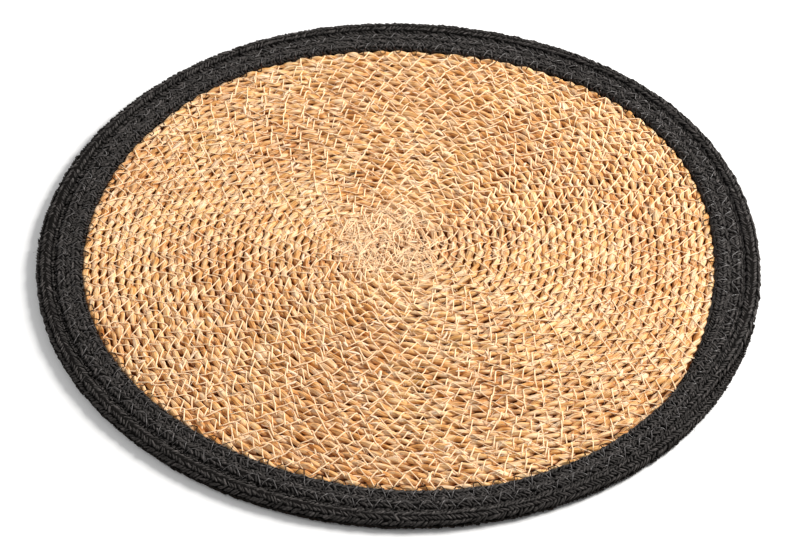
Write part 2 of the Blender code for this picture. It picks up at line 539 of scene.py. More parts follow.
def path_mesh(name, chains, **values):
    """A mesh of edge chains. values are lists of arrays, one array for each chain."""
    mesh = bpy.data.meshes.new(name)
    sizes = [len(chain) for chain in chains]
    points = np.concatenate(chains)
    starts = np.cumsum([0] + sizes[:-1])
    edges = [np.stack([np.arange(size - 1), np.arange(1, size)], 1) + start
             for start, size in zip(starts, sizes)]
    edges = np.concatenate(edges)
    mesh.vertices.add(len(points))
    mesh.vertices.foreach_set("co", points.astype(np.float32).ravel())
    mesh.edges.add(len(edges))
    mesh.edges.foreach_set("vertices", edges.astype(np.int32).ravel())
    for key, arrays in values.items():
        flat = np.concatenate(arrays).astype(np.float32)
        kind = "FLOAT" if flat.ndim == 1 else "FLOAT_VECTOR"
        attribute = mesh.attributes.new(key, kind, "POINT")
        attribute.data.foreach_set("value" if flat.ndim == 1 else "vector", flat.ravel())
    mesh.update()
    return mesh


def press_on_table(mesh):
    """Lifts every point that would lie below the table to just above it, nearly flat."""
    points = np.empty(len(mesh.vertices) * 3, np.float32)
    mesh.vertices.foreach_get("co", points)
    points[2::3] = np.maximum(points[2::3], TABLE_GAP + PRESSED_SHARE * points[2::3].clip(max=0))
    mesh.vertices.foreach_set("co", points)
    mesh.update()


def triangle_count(mesh):
    mesh.calc_loop_triangles()
    return len(mesh.loop_triangles)


def mesh_arrays(mesh):
    mesh.calc_loop_triangles()
    points = np.empty(len(mesh.vertices) * 3, np.float32)
    mesh.vertices.foreach_get("co", points)
    triangles = np.empty(len(mesh.loop_triangles) * 3, np.int32)
    mesh.loop_triangles.foreach_get("vertices", triangles)
    return points.reshape(-1, 3).astype(float), triangles.reshape(-1, 3)


def signed_volume(mesh):
    points, triangles = mesh_arrays(mesh)
    a, b, c = (points[triangles[:, corner]] for corner in range(3))
    return float(np.einsum("ij,ij->i", a, np.cross(b, c)).sum() / 6)


def grow(name, source, tree, sizes):
    """Runs a tree on a source mesh and keeps the result as a plain mesh piece at the origin."""
    holder = bpy.data.objects.new(name + "_source", source)
    bpy.context.scene.collection.objects.link(holder)
    modifier = holder.modifiers.new("grow", "NODES")
    modifier.node_group = tree
    for item in tree.interface.items_tree:
        if item.item_type == "SOCKET" and item.in_out == "INPUT" and item.name in sizes:
            modifier[item.identifier] = sizes[item.name]
    graph = bpy.context.evaluated_depsgraph_get()
    mesh = bpy.data.meshes.new_from_object(
        holder.evaluated_get(graph), preserve_all_data_layers=True, depsgraph=graph)
    bpy.data.objects.remove(holder)
    mesh.name = name
    press_on_table(mesh)
    mesh.shade_smooth()
    piece = bpy.data.objects.new(name, mesh)
    bpy.context.scene.collection.objects.link(piece)
    print(name, triangle_count(mesh), "triangles, volume", round(signed_volume(mesh) / MM**3), "mm3")
    return piece


print("table gap", round(TABLE_GAP / MM, 2), "mm")

# %% [markdown]
# ## The twisted seagrass cord
# Two plies twist round each other. One is a little fatter than the other and the twist tightens and
# slackens, so the lozenges on top of the cord differ in length. Noise lines give this unevenness from
# fixed seeds, so that the mat comes out the same each time. The path carries the twist, and the tree
# runs once for each ply on each stretch of the coil.

# %% Coil the cord
CORD_STEP = 1.6 * MM
CORD_ROUNDS = TURNS - 0.02
TWIST_LENGTH = 18.0 * MM              # of one full turn of the two plies
PLY_OFFSET = 1.0 * MM                 # of a ply's middle from the cord's
PLY_RADII = (1.62 * MM, 1.4 * MM)
PLY_SWELL = 1.3
CREASE_DEPTH = 1.0 * MM
CORD_STRETCHES = 3
CORD_LIFT = 0.15 * MM
END_GIRTH = 0.3                       # the cord is cut where it has thinned to this share
SIDE_WANDER = 0.05                    # in rounds
BOB = 0.18 * MM
GIRTH_WAVER = 0.06
SLOW_TWIST, QUICK_TWIST = 0.24, 0.2   # how much the twist tightens and slackens


def noise_line(place, spacing, seed):
    """A smooth random line along place, from -1 to 1, with one random value every spacing."""
    place = np.asarray(place) / spacing
    start = np.floor(place.min())
    values = np.random.default_rng(seed).uniform(-1, 1, int(place.max() - start) + 3)
    knot = np.floor(place - start).astype(int)
    part = smooth(place - start - knot)
    return values[knot] * (1 - part) + values[knot + 1] * part


cord_q = coil_positions(CORD_STEP, CORD_ROUNDS)
cord_girth = np.where(cord_q >= TURNS - 1, 1 - step_out(cord_q), 1.0)
cord_q = cord_q[cord_girth > END_GIRTH]
cord_girth = cord_girth[cord_girth > END_GIRTH]
wander = noise_line(cord_q * np.sqrt(cord_q + 1), spacing=0.6, seed=11)
cord_xy = coil_place(cord_q, SIDE_WANDER * wander)
cord_along = run_length(cord_xy)
bob = BOB * noise_line(cord_along, spacing=45 * MM, seed=12)
cord_z = FIELD_HEIGHT * 0.5 + CORD_LIFT + bob
cord_points = np.column_stack([cord_xy, cord_z])
cord_girth = cord_girth * (1 + GIRTH_WAVER * noise_line(cord_along, spacing=55 * MM, seed=15))
twist_rate = (1 + SLOW_TWIST * noise_line(cord_along, spacing=60 * MM, seed=13)
              + QUICK_TWIST * noise_line(cord_along, spacing=22 * MM, seed=14))
cord_twist = np.cumsum(np.diff(cord_along, prepend=0.0) * twist_rate) * tau / TWIST_LENGTH
print("seagrass cord", round(float(cord_along[-1]), 2), "m,", len(cord_q), "points")


def cord_pieces():
    """Each ply of each stretch of the coil, one piece each."""
    made = []
    cuts = np.linspace(0, len(cord_q) - 1, CORD_STRETCHES + 1).astype(int)
    for stretch, (first, last) in enumerate(zip(cuts, cuts[1:])):
        part = slice(first, last + 1)
        for ply, radius in enumerate(PLY_RADII):
            source = path_mesh("coil_path", [cord_points[part]], girth=[cord_girth[part]],
                               twist=[cord_twist[part]], along=[cord_along[part] / MM])
            sizes = {"Sides": 7, "Radius": radius, "Flatness": 0.9, "Twist Offset": PLY_OFFSET,
                     "Phase": ply * pi, "Girth Variation": PLY_SWELL, "Crease Depth": CREASE_DEPTH,
                     "Seed": 1000.0 * ply, "Material": seagrass}
            made.append(grow(f"seagrass_ply_{'ab'[ply]}_{stretch + 1}", source, STRAND_TREE, sizes))
    return made


plies = cord_pieces()

# %% [markdown]
# ## The surface under a thread
# Thread, fibres and flakes lie on the cord, so their heights have to be read from it. A ray is dropped
# on the finished plies at each point. A Shrinkwrap modifier could do it too, but a thread pulled tight
# doesn't follow every dip, so the plain heights are wanted first.

# %% A way to find the surface under a point
ABOVE_ALL = 50 * MM


def surface_finder(pieces):
    """A function that gives the height of these pieces under each point of the plane."""
    points, triangles, start = [], [], 0
    for piece in pieces:
        own_points, own_triangles = mesh_arrays(piece.data)
        points.append(own_points)
        triangles.append(own_triangles + start)
        start += len(own_points)
    tree = BVHTree.FromPolygons(np.concatenate(points).tolist(), np.concatenate(triangles).tolist())
    down = Vector((0, 0, -1))

    def heights(places, otherwise):
        found = []
        for x, y in places:
            hit = tree.ray_cast(Vector((x, y, ABOVE_ALL)), down)[0]
            found.append(otherwise if hit is None else hit.z)
        return np.array(found)

    return heights


cord_top = surface_finder(plies)
print("cord height at the middle", round(float(cord_top([coil_centre], 0.0)[0]) / MM, 2), "mm")

# %% [markdown]
# ## The inner blades
# Between the plies one looks down on the cord's own inner blades, pressed flat against the next round.
# Their dark brown colour is painted shade for the gaps.
# They close every gap, so they are made as one thin mat under the plies, ridged along each round.

# %% Press the inner blades into one ridged mat
BLADES_TOP = 2.5 * MM
BLADES_RIDGE = 0.5 * MM
BLADES_THICKNESS = 0.7 * MM
RINGS_A_ROUND = 3
SPOKES = 120


def blades_rings():
    """Rings of points from the middle out, (x, y, height of the ridge there), one row a ring."""
    angle = np.linspace(0, tau, SPOKES, endpoint=False)
    turn_part = ((angle - END_ANGLE) / tau) % 1.0
    rings = []
    for share in np.linspace(0, 1, TURNS * RINGS_A_ROUND + 1)[1:]:
        place = share * TURNS
        step = stepped(turn_part, place)
        drift = (1 - smooth(place / EYE_TURNS)) * EYE_SHIFT
        radius = field_edge(angle) * share
        x = coil_centre[0] + drift[0] + radius * np.cos(angle)
        y = coil_centre[1] + drift[1] + radius * np.sin(angle)
        rings.append(np.column_stack([x, y, BLADES_RIDGE * np.cos(tau * (place - 0.5 - step))]))
    return rings


def inner_blades_mesh():
    """A thin closed disc, ridged along the rounds of the coil on both faces."""
    rings = blades_rings()
    flat = np.concatenate([[(*(coil_centre + EYE_SHIFT), 0.0)], *rings])
    top, foot = flat.copy(), flat.copy()
    top[:, 2] = BLADES_TOP + flat[:, 2]
    foot[:, 2] = BLADES_TOP - BLADES_THICKNESS - flat[:, 2]
    points = np.concatenate([top, foot])
    below = len(flat)
    faces = []
    for spoke in range(SPOKES):
        after = (spoke + 1) % SPOKES
        faces.append((0, 1 + spoke, 1 + after))
        faces.append((below, below + 1 + after, below + 1 + spoke))
        for ring in range(len(rings) - 1):
            near, far = 1 + ring * SPOKES, 1 + (ring + 1) * SPOKES
            corners = (near + spoke, far + spoke, far + after, near + after)
            faces.append(corners)
            faces.append(tuple(below + corner for corner in reversed(corners)))
        rim = 1 + (len(rings) - 1) * SPOKES
        faces.append((rim + spoke, below + rim + spoke, below + rim + after, rim + after))
    mesh = bpy.data.meshes.new("inner_blades_mat")
    mesh.from_pydata(points.tolist(), [], faces)
    mesh.shade_smooth()
    mesh.materials.append(shaded_inner_blades)
    return mesh


blades_mat = bpy.data.objects.new("inner_blades_mat", inner_blades_mesh())
bpy.context.scene.collection.objects.link(blades_mat)
print("inner blades", triangle_count(blades_mat.data), "triangles, volume",
      round(signed_volume(blades_mat.data) / MM**3), "mm3")

# %% [markdown]
# ## Planning a zigzag
# A wide zigzag joins each round to the next. At its outer end the needle pulls the thread down into a
# hole. At its inner end the thread turns over the cord in a short flat step. Each stitch is planned on
# its own, a little longer or shorter than the last, as in hand-guided sewing. One stitch repeated by
# an array would show its repeat at once on a mat with nearly two thousand of them.

# %% Plan stitches along a seam
STITCH_SPREAD = 0.22         # how much the parts of a stitch differ in length
STITCH_LIMITS = (0.5, 1.7)   # shortest and longest, as shares of the usual length
REACH_SPREAD = 0.1
HOLE_Q, HOLE_SIDE, STEP_START, STEP_END, STEP_SIDE = range(5)   # the columns of a planned stitch

# A stitch has 11 points: its hole, a leg of 4, the 2 ends of its flat step, and a leg of 4 to the next
LEG_SHARES = np.array([0.08, 0.35, 0.65, 0.92])
POINTS_A_STITCH = 11
FIRST_LEG, SECOND_LEG = slice(1, 5), slice(7, 11)
LEG_AND_TURN, TURN_AND_LEG = slice(1, 6), slice(6, 11)


def plan_stitches(q_of_length, total, lengths, seed, reach=1.0):
    """One row a stitch, with the columns HOLE_Q to STEP_SIDE."""
    rng = np.random.default_rng(seed)
    length, rows = 0.0, []
    while length < total:
        shares = np.clip(1 + STITCH_SPREAD * rng.normal(size=3), *STITCH_LIMITS)
        back, step, forth = np.array(lengths) * shares
        hole_side, step_side = reach * (1 + REACH_SPREAD * rng.normal(size=2))
        ends = q_of_length(np.array([length, length + back, length + back + step]))
        rows.append((ends[0], hole_side, ends[1], ends[2], -step_side))
        length += back + step + forth
    return np.array(rows)


def leg(start, end):
    """Points along one leg of every stitch, from its start to its end."""
    return start[:, None] + (end - start)[:, None] * LEG_SHARES


def stitch_corners(rows):
    """Coil position and side of every point of the sewn thread, POINTS_A_STITCH a stitch."""
    here, after = rows[:-1], rows[1:]
    q = [here[:, [HOLE_Q]], leg(here[:, HOLE_Q], here[:, STEP_START]),
         here[:, [STEP_START, STEP_END]], leg(here[:, STEP_END], after[:, HOLE_Q])]
    side = [here[:, [HOLE_SIDE]], leg(here[:, HOLE_SIDE], here[:, STEP_SIDE]),
            here[:, [STEP_SIDE, STEP_SIDE]], leg(here[:, STEP_SIDE], after[:, HOLE_SIDE])]
    return np.concatenate(q, axis=1), np.concatenate(side, axis=1)


print("points a stitch", POINTS_A_STITCH)

# %% [markdown]
# ## Draping the thread
# The thread of a leg is taut, so it rests on the highest plies and bridges the dips between them. That
# is the upper hull of the heights under it, eased a little towards the surface. Here and there a leg
# has sunk between two plies. At its hole the thread is pulled down out of sight.

# %% Drape a planned seam and sweep it
BRIDGE_SHARE = 0.75            # how nearly a leg bridges the dips, and doesn't follow them
DEEPEST_SAG = 0.8 * MM
LEG_BOW = 0.07                 # sideways bow of a leg, as a share of the seam's half width
SUNK_DEPTH = 0.7 * MM
THREAD_GIRTHS = (0.8, 1.15)
THREAD_SWELL = 0.25


def taut(heights):
    """Heights of a thread pulled tight over these heights, part way between bridging and touching."""
    hull = [0]
    for here in range(1, len(heights)):
        while len(hull) > 1:
            a, b = hull[-2], hull[-1]
            if (heights[b] - heights[a]) * (here - a) >= (heights[here] - heights[a]) * (b - a):
                break
            hull.pop()
        hull.append(here)
    bridge = np.interp(np.arange(len(heights)), hull, heights[hull])
    return BRIDGE_SHARE * bridge + (1 - BRIDGE_SHARE) * np.maximum(heights, bridge - DEEPEST_SAG)


def sewn_chain(rows, place_of, heights_under, lift, hole_depth, seed, sunk_share=0.0):
    """The draped thread as one chain of points, with a girth for each point."""
    rng = np.random.default_rng(seed)
    q, side = stitch_corners(rows)
    count = len(q)
    bow = rng.normal(size=(count, 2)) * LEG_BOW
    side[:, FIRST_LEG] += bow[:, :1] * np.sin(pi * LEG_SHARES)
    side[:, SECOND_LEG] += bow[:, 1:] * np.sin(pi * LEG_SHARES)
    flat = place_of(q.ravel(), side.ravel())
    over = heights_under(flat, BLADES_TOP).reshape(q.shape) + lift
    for row in over:
        row[LEG_AND_TURN] = taut(row[LEG_AND_TURN])
        row[TURN_AND_LEG] = taut(row[TURN_AND_LEG])
    sunk = rng.random((count, 2)) < sunk_share
    over[:, FIRST_LEG] -= sunk[:, :1] * SUNK_DEPTH
    over[:, SECOND_LEG] -= sunk[:, 1:] * SUNK_DEPTH
    over[:, 0] = np.minimum(over[:, 1], np.roll(over[:, -1], 1)) - hole_depth
    girth = np.repeat(rng.uniform(*THREAD_GIRTHS, (count, 1)), q.shape[1], axis=1)
    return np.column_stack([flat, over.ravel()]), girth.ravel()


def sweep_threads(name, chains, radius, sides, material, seed=0.0, flatness=1.0, girths=None):
    along = [run_length(chain) / MM for chain in chains]
    girths = girths or [np.ones(len(chain)) for chain in chains]
    source = path_mesh(name + "_path", chains, girth=girths, twist=[np.zeros(len(c)) for c in chains],
                       along=along)
    sizes = {"Sides": sides, "Radius": radius, "Flatness": flatness, "Girth Variation": THREAD_SWELL,
             "Seed": seed, "Material": material}
    return grow(name, source, STRAND_TREE, sizes)


sample_heights = np.array([0.0, 2.0, 0.0, 0.0, 1.0]) * MM
print("a leg over heights 0 2 0 0 1 mm lies at", (taut(sample_heights) / MM).round(2))

# %% [markdown]
# ## The finish of sewing thread
# Thread is a tight twist of fine fibres, so a thin streaky grain and a shallow bump are enough. All the
# threads and loose fibres share one recipe with their own two colours.


# %% Thread finish
def thread_material(name, light, dark, roughness, specular=0.15, sheen=0.0):
    material, tree, shader = new_material(
        name, Sheen_Weight=sheen, Sheen_Roughness=0.5, Specular_IOR_Level=specular)
    grain = grain_in(tree, fineness=3.0, stretch=0.5, patch_size=20.0)
    color = mix_color(tree, map_range(tree, grain.outputs["Streaks"], 0.3, 0.7, 0.0, 1.0), dark, light)
    tree.links.new(color, shader.inputs["Base Color"])
    rough = map_range(tree, grain.outputs["Patches"], 0.3, 0.7, roughness - 0.08, roughness + 0.08)
    tree.links.new(rough, shader.inputs["Roughness"])
    add_bump(tree, shader, grain.outputs["Height"], 0.12 * MM, 0.8)
    return material


cream_thread = thread_material("cream_thread", linear(255, 229, 194), linear(250, 208, 160), roughness=0.6)
print("finish", cream_thread.name)

# %% [markdown]
# ## The cream zigzag
# The seam runs along the line where two rounds touch, from the eye of the coil to its last round. It is
# kept as two pieces, because one would hold too many triangles to handle well.

# %% Sew the seagrass
STITCH_FORTH = 5.6 * MM
STITCH_BACK = 4.4 * MM
STITCH_STEP = 1.8 * MM
STITCH_REACH = 0.79      # half the zigzag's width, in rounds
SEAM_STEP = 2 * MM
SEAM_LAST_ROUND = TURNS - 1.03
HOLE_DEPTH = 1.7 * MM
CREAM_RADIUS = 0.36 * MM


def seam_place(q, side):
    return coil_place(q, 0.5 + side)


seam_q = coil_positions(SEAM_STEP, SEAM_LAST_ROUND)
seam_length = run_length(coil_place(seam_q, 0.5))
cream_rows = plan_stitches(lambda length: np.interp(length, seam_length, seam_q), seam_length[-1],
                           (STITCH_BACK, STITCH_STEP, STITCH_FORTH), seed=21, reach=STITCH_REACH)
cream_line, cream_girth = sewn_chain(cream_rows, seam_place, cord_top, lift=0.7 * CREAM_RADIUS,
                                     hole_depth=HOLE_DEPTH, seed=22, sunk_share=0.08)
middle = len(cream_line) // 2
threads = [
    sweep_threads("cream_zigzag_1", [cream_line[:middle + 1]], CREAM_RADIUS, 4, cream_thread,
                  girths=[cream_girth[:middle + 1]]),
    sweep_threads("cream_zigzag_2", [cream_line[middle:]], CREAM_RADIUS, 4, cream_thread,
                  girths=[cream_girth[middle:]])]
print("cream stitches", len(cream_rows))

# %% [markdown]
# ## Loose fibres and peeling blades
# Seagrass sheds: pale hair-fine fibres lie across the rounds, thickest in the middle of the mat, where
# the coil was started, and here and there the skin of a blade peels off as a pale flake. The eye of
# the coil is also crossed by many short passes of cream thread that hold its tight first rounds. They
# are scattered as short bent paths, laid on the cord, and swept with the strand tree.

# %% Scatter fibres and flakes
THREADS_MIDDLE = 150
TUFTS = 12
FIBRES_A_TUFT = 26
FIBRES_FIELD = 1100
FLAKES = 420
PALE_MIDDLE = coil_centre + EYE_SHIFT + np.array([-6.0, -2.0]) * MM
SCATTER_SHARE = 0.97         # of the field's radius
PASSES_REACH = 27 * MM
TUFTS_REACH = 30 * MM
TUFT_RADIUS = 6 * MM
HEADING_SPREAD = 0.35        # radians, of the fibres that lie along the cord
LIFT_SPREAD = 0.25 * MM
FIBRE_TAPER = np.array([0.35, 0.85, 1.0, 1.0, 0.8, 0.3])   # girth from one end to the other
FIBRE_GIRTHS = (0.7, 1.3)    # thinnest and thickest fibre, as shares of the usual one


def bent_path(rng, heading, length_range, curl, share):
    """A short path that bends evenly, from its start at (0, 0), with a point for each share."""
    length = rng.uniform(*length_range)
    turn = heading + rng.normal() * curl * (share - 0.5)
    steps = np.column_stack([np.cos(turn), np.sin(turn)]) * length / (len(share) - 1)
    return np.concatenate([[(0, 0)], np.cumsum(steps[:-1], axis=0)])


def lying_curves(middles, length_range, lift, curl, seed, toward_cord=0.0):
    """Short curved paths on the seagrass round these middles, with their girths."""
    rng = np.random.default_rng(seed)
    share = np.linspace(0, 1, len(FIBRE_TAPER))
    flat = []
    for middle in middles:
        heading = rng.uniform(0, tau)
        if rng.random() < toward_cord:
            away = middle - coil_centre
            heading = np.arctan2(away[1], away[0]) + pi / 2 + rng.normal() * HEADING_SPREAD
        points = bent_path(rng, heading, length_range, curl, share)
        flat.append(points - points.mean(axis=0) + middle)
    surface = cord_top(np.concatenate(flat), BLADES_TOP).reshape(len(flat), -1)
    chains = [np.column_stack([points, taut(under + lift) + rng.uniform(0, LIFT_SPREAD)])
              for points, under in zip(flat, surface)]
    girths = [FIBRE_TAPER * rng.uniform(*FIBRE_GIRTHS) for _ in chains]
    return chains, girths


def spread(count, middle, reach, seed):
    """Points spread evenly over a round patch."""
    rng = np.random.default_rng(seed)
    angle, radius = rng.uniform(0, tau, count), reach * np.sqrt(rng.random(count))
    return middle + np.column_stack([np.cos(angle), np.sin(angle)]) * radius[:, None]


def tufts(seed):
    """Points in small clusters round the middle of the mat, where skins have frayed."""
    spots = spread(TUFTS, PALE_MIDDLE, TUFTS_REACH, seed)
    return np.concatenate([spread(FIBRES_A_TUFT, spot, TUFT_RADIUS, seed + 1 + number)
                           for number, spot in enumerate(spots)])


pale_fibre = thread_material("pale_fibre", linear(255, 234, 206), linear(246, 212, 168), roughness=0.6)
pale_blade = thread_material("pale_blade", linear(252, 226, 200), linear(238, 196, 154), roughness=0.6)
field_reach = SCATTER_SHARE * field_mean
passes, pass_girths = lying_curves(spread(THREADS_MIDDLE, PALE_MIDDLE, PASSES_REACH, seed=34),
                                   (7 * MM, 20 * MM), lift=0.25 * MM, curl=0.5, seed=35)
frayed, frayed_girths = lying_curves(tufts(seed=36), (3 * MM, 8 * MM), lift=0.15 * MM, curl=1.2, seed=31)
field_fibres, field_girths = lying_curves(spread(FIBRES_FIELD, coil_centre, field_reach, seed=37),
                                          (5 * MM, 16 * MM), lift=0.1 * MM, curl=0.9, seed=32,
                                          toward_cord=0.5)
flakes, flake_girths = lying_curves(spread(FLAKES, coil_centre, field_reach, seed=38),
                                    (2.5 * MM, 7 * MM), lift=0.05 * MM, curl=0.5, seed=33,
                                    toward_cord=0.8)
fibres = [
    sweep_threads("cream_passes_middle", passes, radius=0.27 * MM, sides=4, material=cream_thread,
                  seed=40, girths=pass_girths),
    sweep_threads("pale_fibres_middle", frayed, radius=0.13 * MM, sides=3, material=pale_fibre,
                  seed=10, girths=frayed_girths),
    sweep_threads("pale_fibres_field", field_fibres, radius=0.11 * MM, sides=3, material=pale_fibre,
                  seed=20, girths=field_girths),
    sweep_threads("peeling_flakes", flakes, radius=0.75 * MM, sides=4, material=pale_blade,
                  seed=30, flatness=0.25, girths=flake_girths)]
print("fibres in the field", len(field_fibres), "flakes", len(flakes))

# %% [markdown]
# ## The black braid
# The border is a thick soft cord braided from many black yarns, sewn on in three rounds. Like the
# seagrass, it runs as rings with a short step from one to the next, and both its ends thin out and
# tuck in. Lanes count the rounds across the border: 0 at the seagrass, 3 at the rim. Each round is a
# little higher than the one inside it.

# %% The line that the braid follows
LANES = (-1, 0, 1, 2, 3)
LANE_SHARES = (-0.32, 0.0, 0.3, 0.61, 1.0)                # of the border's width, at each lane
LANE_HEIGHTS = (0.006, 0.0061, 0.0062, 0.0064, 0.0066)    # of the braid's top, at each lane
BRAID_ROUNDS = 3
BRAID_LINE_STEP = 0.0012        # rounds between two points of the line
BRAID_END_ANGLE = radians(351)
CUT_GIRTH = 0.05                # the braid is cut where it has thinned to this share
THIN_HEIGHT = 0.45              # height of the braid where it has thinned to nothing
SQUEEZE = 0.1                   # how much the inner rounds are pressed into each other
SQUEEZE_LANE = 2.2              # from this lane outwards they are not


def lane_radius(angle, lane):
    inner, outer = border_inner(angle), border_outer(angle)
    return inner + (outer - inner) * np.interp(lane, LANES, LANE_SHARES)


def lane_point(angle, lane):
    radius = lane_radius(angle, lane)
    return coil_centre + np.stack([np.cos(angle), np.sin(angle)], -1) * np.asarray(radius)[..., None]


def braid_line():
    """Angle, lane of the middle and girth (0 to 1) along the braid, from its tucked start to its end."""
    q = np.arange(-STEP_SHARE, BRAID_ROUNDS, BRAID_LINE_STEP)
    turn = np.floor(q)
    share = q - turn
    ramp = late_step(share)
    lane = turn + 0.5 + ramp
    lane = np.where(turn < 0, ramp / 2, lane)
    last = turn >= BRAID_ROUNDS - 1
    lane = np.where(last, turn + 0.5 + ramp / 2, lane)
    girth = np.where(turn < 0, ramp, np.where(last, 1 - ramp, 1.0))
    keep = girth > CUT_GIRTH
    return BRAID_END_ANGLE + tau * q[keep], lane[keep], girth[keep]


braid_angle, braid_lane, braid_girth = braid_line()
braid_xy = lane_point(braid_angle, braid_lane)
braid_along = run_length(braid_xy)
print("black braid", round(float(braid_along[-1]), 2), "m")


def braid_frame(along):
    """Middle, direction, half width and height, girth and lane of the braid at each length along it."""
    def read(values):
        return np.interp(along, braid_along, values)

    angle, lane, girth = read(braid_angle), read(braid_lane), read(braid_girth)
    middle = np.column_stack([read(braid_xy[:, 0]), read(braid_xy[:, 1])])
    ahead = np.column_stack([np.interp(along + MM, braid_along, braid_xy[:, axis]) for axis in (0, 1)])
    behind = np.column_stack([np.interp(along - MM, braid_along, braid_xy[:, axis]) for axis in (0, 1)])
    direction = ahead - behind
    direction /= np.linalg.norm(direction, axis=1)[:, None]
    reach = lane_radius(angle, lane + 0.5 * girth) - lane_radius(angle, lane - 0.5 * girth)
    height = np.interp(lane, LANES, LANE_HEIGHTS) * (THIN_HEIGHT + (1 - THIN_HEIGHT) * girth)
    squeeze = 1 + SQUEEZE * smooth(SQUEEZE_LANE - lane)
    return middle, direction, reach / 2 * squeeze, height / 2, girth, lane

# %% [markdown]
# ## Where the needle went through the border
# The dark stitches are planned before the braid is made, because each needle hole pulls the soft yarn
# round it down into a dimple. One seam holds the first round of braid to the seagrass. It steps out
# after a round, and a second seam then holds the braid's own rounds together.

# %% Plan the dark stitches
SEAM_INNER_LANES = (-0.48, 1.22, 2.3)    # the zigzag's inner ends, at the start of each round of sewing
SEAM_OUTER_LANES = (0.97, 1.93, 2.8)     # and its outer ends
SEAM_ROUNDS = 1.93
SEAM_LINE_STEP = 0.002
BORDER_BACK = 3.7 * MM
BORDER_STEP = 2.2 * MM
BORDER_FORTH = 4.0 * MM
SIDE_LIMIT = 1.15
HOLE_PULL = 2.8 * MM
HOLE_REACH = 1.6 * MM


def border_place(q, side):
    """The plane point at seam position q (rounds) and side, from -1 at the inner ends to 1."""
    q = np.asarray(q, float)
    turn = np.floor(q)
    place = turn + late_step(q - turn)
    inner = np.interp(place, range(3), SEAM_INNER_LANES)
    outer = np.interp(place, range(3), SEAM_OUTER_LANES)
    lane = inner + (outer - inner) * (np.asarray(side) + 1) / 2
    return lane_point(BRAID_END_ANGLE + tau * q, lane)


border_q = np.arange(0, SEAM_ROUNDS, SEAM_LINE_STEP)
border_length = run_length(border_place(border_q, 0 * border_q))
dark_rows = plan_stitches(lambda length: np.interp(length, border_length, border_q), border_length[-1],
                          (BORDER_BACK, BORDER_STEP, BORDER_FORTH), seed=51)
dark_rows[:, [HOLE_SIDE, STEP_SIDE]] = dark_rows[:, [HOLE_SIDE, STEP_SIDE]].clip(-SIDE_LIMIT, SIDE_LIMIT)
dark_holes = border_place(dark_rows[:, HOLE_Q], dark_rows[:, HOLE_SIDE])
hole_finder = KDTree(len(dark_holes))
for number, (x, y) in enumerate(dark_holes):
    hole_finder.insert((x, y, 0), number)
hole_finder.balance()
print("dark stitches", len(dark_rows))


def pulled_down(points):
    """How far each point of the braid is pulled down by the needle holes near it."""
    distance = np.array([hole_finder.find((x, y, 0))[2] for x, y in points[:, :2]])
    return HOLE_PULL * np.exp(-(distance / HOLE_REACH) ** 2)

# %% [markdown]
# ## Where the floats of yarn lie
# A braid shows columns of short slanting floats, leaning one way in one column and the other way in the
# next, which reads as chevrons. The columns stand evenly round a boxy oval, since the braid is pressed
# against its neighbours, the seagrass and the table. Along the seam between the first two rounds the
# stitches pull the braid so that its side columns turn up and face the eye. Each float leans, lies and
# swells a little differently, and floats near a hole are pulled down and shortened.

# %% Place the floats
COLUMNS = 8
BOXINESS = 0.72                      # 1 is a true oval, and less is boxier
SECTION_HALVES = (3.5, 2.7)          # usual half width and half height of the braid, in millimetres
FLOAT_SPACING = 3.8 * MM
YARN_OFFSET = 1.75 * MM              # from one float of a column to the one that overlaps it
FLOAT_LEAN = radians(36)
FLOAT_SIZE = (5.0 * MM, 1.5 * MM, 1.6 * MM)
FLOAT_INSET = 0.5 * MM
ALONG_SPREAD = 0.22 * MM
RISE_SPREAD = 0.12 * MM
SIDE_SPREAD = 0.17 * MM
TILT_SPREAD = 0.2
SIZE_SPREAD = 0.17
THIN_SIZE = 0.4                      # size of the floats where the braid has thinned to nothing
PULLED_SHORTER = 0.55
SEAM_COLUMN_SINE = 0.6               # the columns below this height on the section can turn up
SEAM_LANE_REACH = 0.7
SEAM_RISE = 0.9 * MM
SEAM_TURN = 0.1 / MM
SEAM_SIDE_LOSS = 0.7


def boxy(wave):
    """A sine or cosine pushed out towards 1 and -1, which turns a round section into a boxy one."""
    return np.sign(wave) * np.abs(wave) ** BOXINESS


def column_angles(half_width, half_height, count):
    """Angles that stand evenly round a boxy oval, the first half a step past its inner side."""
    fine = np.linspace(0, tau, 721)
    edge = run_length(np.column_stack([half_width * boxy(np.cos(fine)), half_height * boxy(np.sin(fine))]))
    return np.interp((np.arange(count) + 0.5) / count * edge[-1], edge, fine)


def beside_seam(around, lane):
    """1 for the column of the first or second round that the seam between them turns up, else 0."""
    if not 0 < sin(around) < SEAM_COLUMN_SINE:
        return 0 * lane
    own_lane = 1.5 if cos(around) > 0 else 0.5
    return 1 - smooth(abs(lane - own_lane) / SEAM_LANE_REACH)


